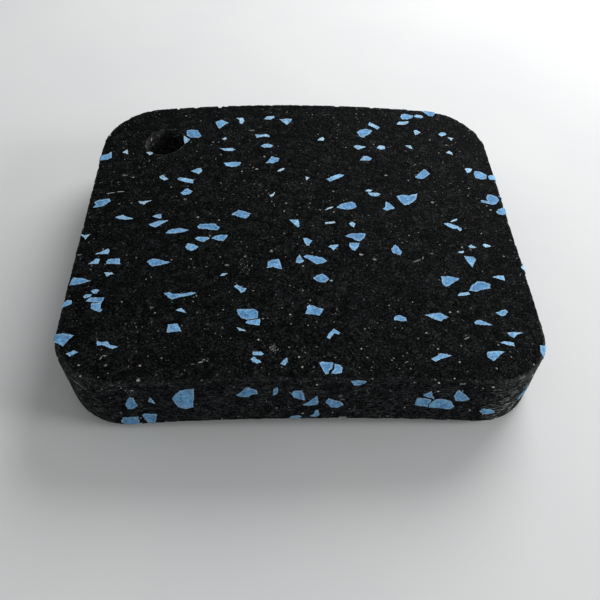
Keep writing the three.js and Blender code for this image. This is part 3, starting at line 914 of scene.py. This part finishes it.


# Pale grit and fibre: bits of tyre cord and mineral filler that the grinder left in the
# crumb, and dust pressed into the face. They are let into the faces like the granules.
# Larger bits on the tread, read off: x, y, length, width in mm, and turn in degrees.
TREAD_GRIT = [
    (-48.8, 33.9, 1.2, 0.5, 20), (-44.3, 28.1, 0.4, 0.4, 0), (-29.2, 39.9, 0.6, 0.4, 30),
    (-11.5, 32.5, 2.0, 0.5, 0), (-42.3, 17.1, 1.9, 0.45, 0), (-26.7, 6.9, 0.9, 0.7, 10),
    (-45.0, 10.9, 2.6, 0.3, 8), (-42.6, 11.1, 2.2, 0.24, -3), (-39.4, 6.8, 0.6, 0.5, 0),
    (-8.2, 21.8, 0.7, 0.5, 0), (-3.0, 4.6, 0.8, 0.7, 0), (4.8, 2.4, 0.7, 0.5, 0),
    (21.6, 15.4, 0.9, 0.7, 0), (46.0, 5.4, 0.8, 0.5, 0), (31.9, 6.5, 0.9, 0.8, 0),
    (-48.9, -8.9, 1.2, 0.45, 0), (-6.4, -10.7, 0.9, 0.8, 0), (-12.1, -12.2, 0.7, 0.7, 40),
    (-16.0, -14.6, 1.2, 0.6, 0), (4.1, -10.8, 0.5, 0.4, 0), (0.4, -15.2, 0.5, 0.4, 0),
    (13.2, -11.6, 1.0, 0.6, 0), (16.1, -13.0, 1.2, 0.7, 0), (6.2, -19.3, 0.8, 0.5, 0),
    (-17.5, -12.2, 0.5, 0.5, 0), (25.4, -12.9, 2.7, 0.42, 26), (26.9, -12.0, 1.2, 0.34, 68),
    (29.1, -10.5, 1.0, 0.4, 0), (48.7, -4.4, 0.6, 0.5, 0), (48.5, -15.0, 1.6, 0.2, 60),
    (-30.9, -25.5, 0.9, 0.5, 0), (-37.3, -23.5, 0.5, 0.4, 0), (-31.4, -43.0, 0.8, 0.8, 0),
    (-43.5, -38.7, 0.6, 0.5, 0), (-39.2, -41.8, 0.4, 0.4, 0), (-39.4, -37.3, 1.3, 0.2, 65),
    (-38.7, -36.9, 1.0, 0.2, -10), (-38.2, -39.2, 0.8, 0.5, 30), (-31.5, -39.7, 0.6, 0.4, 0),
    (-27.5, -38.2, 0.6, 0.5, 0), (-19.3, -39.0, 0.5, 0.4, 0), (-21.4, -39.9, 1.0, 0.14, 10),
    (-19.9, -39.5, 1.3, 0.18, 12), (-18.7, -39.3, 0.5, 0.25, 0), (12.2, -32.0, 0.5, 0.5, 0),
    (11.1, -36.8, 0.5, 0.4, 0), (-2.6, -28.4, 0.5, 0.4, 0), (-2.5, -30.8, 0.5, 0.5, 0),
    (0.9, -31.2, 0.4, 0.4, 0), (-8.9, -34.6, 0.6, 0.4, 0), (32.8, -33.5, 2.0, 0.4, 28),
    (30.4, -27.0, 0.6, 0.5, 0), (17.8, -25.8, 0.6, 0.4, 0), (24.6, -32.6, 0.5, 0.4, 0),
    (37.4, -40.5, 0.6, 0.5, 0), (30.2, -39.4, 0.5, 0.4, 0), (28.5, -43.3, 0.5, 0.3, 0),
    (39.0, -34.8, 0.6, 0.4, 0), (31.2, -35.5, 0.5, 0.4, 0), (19.7, 27.5, 0.5, 0.4, 0),
    (46.9, 36.8, 0.5, 0.4, 0), (42.3, 27.0, 0.5, 0.4, 0), (23.0, 43.0, 0.5, 0.3, 0),
]

# On the front wall, with the run along the outline, the height above the floor and a tone.
FRONT_GRIT = [
    (8.0, 3.95, 2.1, 0.8, 5, 0.9), (7.0, 12.4, 0.9, 0.8, 0, 0.5), (30.2, 16.4, 1.3, 0.35, 0, 0.8),
    (12.2, 13.7, 2.1, 0.16, -62, 0.35), (-47.6, 14.2, 2.6, 0.12, -4, 0.45),
    (-45.6, 14.3, 2.0, 0.2, 2, 0.6), (-44.3, 14.0, 1.8, 0.28, 10, 0.8),
    (-43.2, 13.6, 1.0, 0.2, 14, 0.5), (-42.4, 13.3, 0.4, 0.3, 0, 0.7),
]

BIT_SHAPE = ((-0.5, -0.1), (-0.2, -0.5), (0.3, -0.42), (0.5, 0.08), (0.15, 0.5), (-0.3, 0.38))


def bit(x, y, long, wide, turn, draw):
    """The outline of one bit: longer than wide, with uneven ends."""
    c, s = math.cos(math.radians(turn)), math.sin(math.radians(turn))
    shape = []
    for fx, fy in BIT_SHAPE:
        px, py = fx * long * draw.uniform(0.85, 1.15), fy * wide * draw.uniform(0.75, 1.25)
        shape.append((x + px * c - py * s, y + px * s + py * c))
    return shape


SEEN_SHARE = 0.85          # a bit's true size, of the size it seems to have in the photograph
TREAD_BIT_DEPTH, WALL_BIT_DEPTH, HOLE_BIT_DEPTH, DUST_DEPTH = 0.2, 0.25, 0.2, 0.1
grit = Chips("pale_grit")
for x, y, long, wide, turn in TREAD_GRIT:
    grit.add(bit(x, y, SEEN_SHARE * long, SEEN_SHARE * wide, turn, dice), tread_place,
             TREAD_BIT_DEPTH, dice.uniform(0.55, 1))
for x, y, long, wide, turn, pale in FRONT_GRIT:
    grit.add(bit(x, y, long, wide, turn, dice), wall_place, WALL_BIT_DEPTH, pale)
# two dusty spots, where chalk is smeared over a few millimetres: place, spread, count, tone
for x, y, along, up, count, pale in ((-6.0, -36.8, 0.45, 0.62, 34, 0.8),
                                     (-12.3, -15.0, 0.4, 1.3, 30, 0.5)):
    for _ in range(count):
        u, v = scatter.gauss(x, along), scatter.gauss(y, up)
        long, wide = scatter.uniform(0.15, 0.5), scatter.uniform(0.08, 0.2)
        grit.add(bit(u, v, long, wide, scatter.uniform(20, 120), scatter), tread_place,
                 DUST_DEPTH, scatter.uniform(0.2, pale))
# chalk dust caught on the upper left wall of the hole, and a few larger bits there
for _ in range(26):
    u, v = scatter.uniform(15.6, 20.2), scatter.uniform(10.8, 15.8)
    long, wide = scatter.uniform(0.2, 0.6), scatter.uniform(0.1, 0.3)
    grit.add(bit(u, v, long, wide, scatter.uniform(0, 180), scatter), hole_place,
             HOLE_BIT_DEPTH, scatter.uniform(0.1, 0.75))
for u, v, long, wide, turn, pale in (
        (17.7, 15.6, 0.9, 0.4, 60, 1.0), (17.9, 13.9, 0.8, 0.45, 50, 0.8),
        (19.7, 15.7, 0.9, 0.4, 0, 0.5), (18.6, 11.5, 0.6, 0.5, 80, 0.5)):
    grit.add(bit(u, v, long, wide, turn, dice), hole_place, HOLE_BIT_DEPTH, pale)
# a sprinkle of the smallest bits over every face: how many are tried, over what span, and how
# far from the rim
SPRINKLE = (
    (tread_place, 520, (-49.5, 49.5), (-43.5, 43.5), 0.5),
    (under_place, 260, (-49, 49), (-43, 43), 1.2),
    (wall_place, 300, (0, PERIMETER), (0.5, 17.8), 0.5),
)
SPRINKLE_DEPTH = 0.12
for where, count, across, up, clear in SPRINKLE:
    for _ in range(count):
        u, v = scatter.uniform(*across), scatter.uniform(*up)
        to_hole = math.hypot((-u if where is under_place else u) - HOLE_X, v - HOLE_Y)
        if where is wall_place:
            (x, _y), _out = outline(u)
            if not under_height(x) + 0.4 < v < tread_height(x) - clear:
                continue
        elif rim_distance(u, v) < clear or to_hole < HOLE_RADIUS + 0.5:
            continue
        if any(face is where and abs(shape[0][0] - u) < 8 and inside_shape(u, v, shape)
               for face, shape in granules.shapes):
            continue
        long, slim = min(scatter.lognormvariate(-1.4, 0.42), 0.9), scatter.uniform(0.3, 0.8)
        if scatter.random() < 0.4:
            long, slim = 1.9 * long, 0.35 * slim
        grit.add(bit(u, v, long, long * slim, scatter.uniform(0, 180), scatter), where,
                 SPRINKLE_DEPTH, scatter.random() ** 1.8)
grit_piece = grit.build()

# Chalk filler and polyester cord: matt off-white to grey-brown, dulled by black dust, so
# that the bits read as faint specks and threads on the black.
pale_bits, tree, place = new_material("chalk_and_cord_bits")
tone = add_node(tree, "Attribute", attribute_name="tone").outputs["Fac"]
pale = add_node(tree, "ValToRGB", [("Fac", tone)], [
    (0.0, linear("#2c2825")), (0.35, linear("#484845")), (0.7, linear("#767672")),
    (1.0, linear("#b4b4ae"))])
fine = add_node(tree, "TexNoise", [("Vector", place)], Scale=1 / (0.3 * MM), Detail=2.0)
shade = add_node(tree, "ValToRGB", [("Fac", fine)], [(0.35, grey(0.35)), (0.6, grey(1))])
dusty = add_node(tree, "Mix", [(COLOUR_A, pale), (COLOUR_B, shade)], **MULTIPLY)
shader = add_node(tree, "BsdfPrincipled", [("Base Color", dusty.outputs[MIXED])],
                  IOR=1.5, Roughness=0.85, Specular_IOR_Level=0.3)
add_node(tree, "OutputMaterial", [("Surface", shader)])
grit_piece.data.materials.append(pale_bits)
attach(grit_piece, "root")


# The studio floor: plain pale painted board under the tile, wide enough to fill the view.
# Its matt white paint is even to the eye, but for a slow and very faint change of tone.
FLOOR_SIDE = 3.0
net = bmesh.new()
bmesh.ops.create_grid(net, x_segments=8, y_segments=8, size=FLOOR_SIDE / 2)
floor_mesh = bpy.data.meshes.new("studio_floor")
net.to_mesh(floor_mesh)
net.free()
floor = add_object("studio_floor", floor_mesh)
painted, tree, place = new_material("matt_white_paint")
fine = add_node(tree, "TexNoise", [("Vector", place)], Scale=1 / (60 * MM), Detail=3.0)
tint = add_node(tree, "ValToRGB", [("Fac", fine)],
                [(0.3, linear("#d6d7d8")), (0.7, linear("#dcdddd"))])
shader = add_node(tree, "BsdfPrincipled", [("Base Color", tint)], IOR=1.5,
                  Roughness=0.9, Specular_IOR_Level=0.2)
add_node(tree, "OutputMaterial", [("Surface", shader)])
floor.data.materials.append(painted)


# Light: a wide soft window high at the back right, a weaker one at the front right, and
# an even pale surround. Each lamp has its place and aim in metres, its side, its power in
# watts and, where it is narrowed, its spread in degrees.
def soft_light(name, spot, aim, side, power, spread=180):
    lamp = bpy.data.lights.new(name, "AREA")
    lamp.spread = math.radians(spread)
    lamp.shape, lamp.size, lamp.energy = "DISK", side, power
    holder = add_object(name, lamp)
    holder.location = spot
    holder.rotation_mode = "QUATERNION"
    holder.rotation_quaternion = (Vector(aim) - Vector(spot)).to_track_quat("-Z", "Y")


WORLD_STRENGTH = 0.40
soft_light("window", (0.24, 0.36, 0.28), (0, 0, 0), 0.4, 2.8)
soft_light("side_fill", (0.62, -0.13, 0.22), (0.03, -0.03, 0), 0.26, 0.35, 65)
world = bpy.data.worlds.new("studio")
world.use_nodes = True
surround = world.node_tree.nodes["Background"]
surround.inputs["Color"].default_value = linear("#eef0f0")
surround.inputs["Strength"].default_value = WORLD_STRENGTH
bpy.context.scene.world = world
bpy.context.scene.view_settings.view_transform = "Standard"


# The camera: a phone held over the front edge, looking down at the tile. Its lens is
# 0.5 % longer than the phone's, because the relief makes the tile that much smaller.
CAMERA_SPOT = Vector((-5.72, -112.23, 124.63)) * MM
CAMERA_AIM = Vector((-0.38, -21.89, 15.0)) * MM
CAMERA_ROLL = 2.447
LENS = 40.26
SENSOR = 36.0
lens = bpy.data.cameras.new("camera")
lens.sensor_width, lens.lens = SENSOR, LENS
lens.clip_start = 0.005
camera = add_object("camera", lens)
camera.location = CAMERA_SPOT
camera.rotation_mode = "QUATERNION"
camera.rotation_quaternion = (CAMERA_AIM - CAMERA_SPOT).to_track_quat("-Z", "Y") @ Quaternion(
    (0, 0, 1), math.radians(CAMERA_ROLL))
bpy.context.scene.camera = camera

bpy.context.view_layer.update()
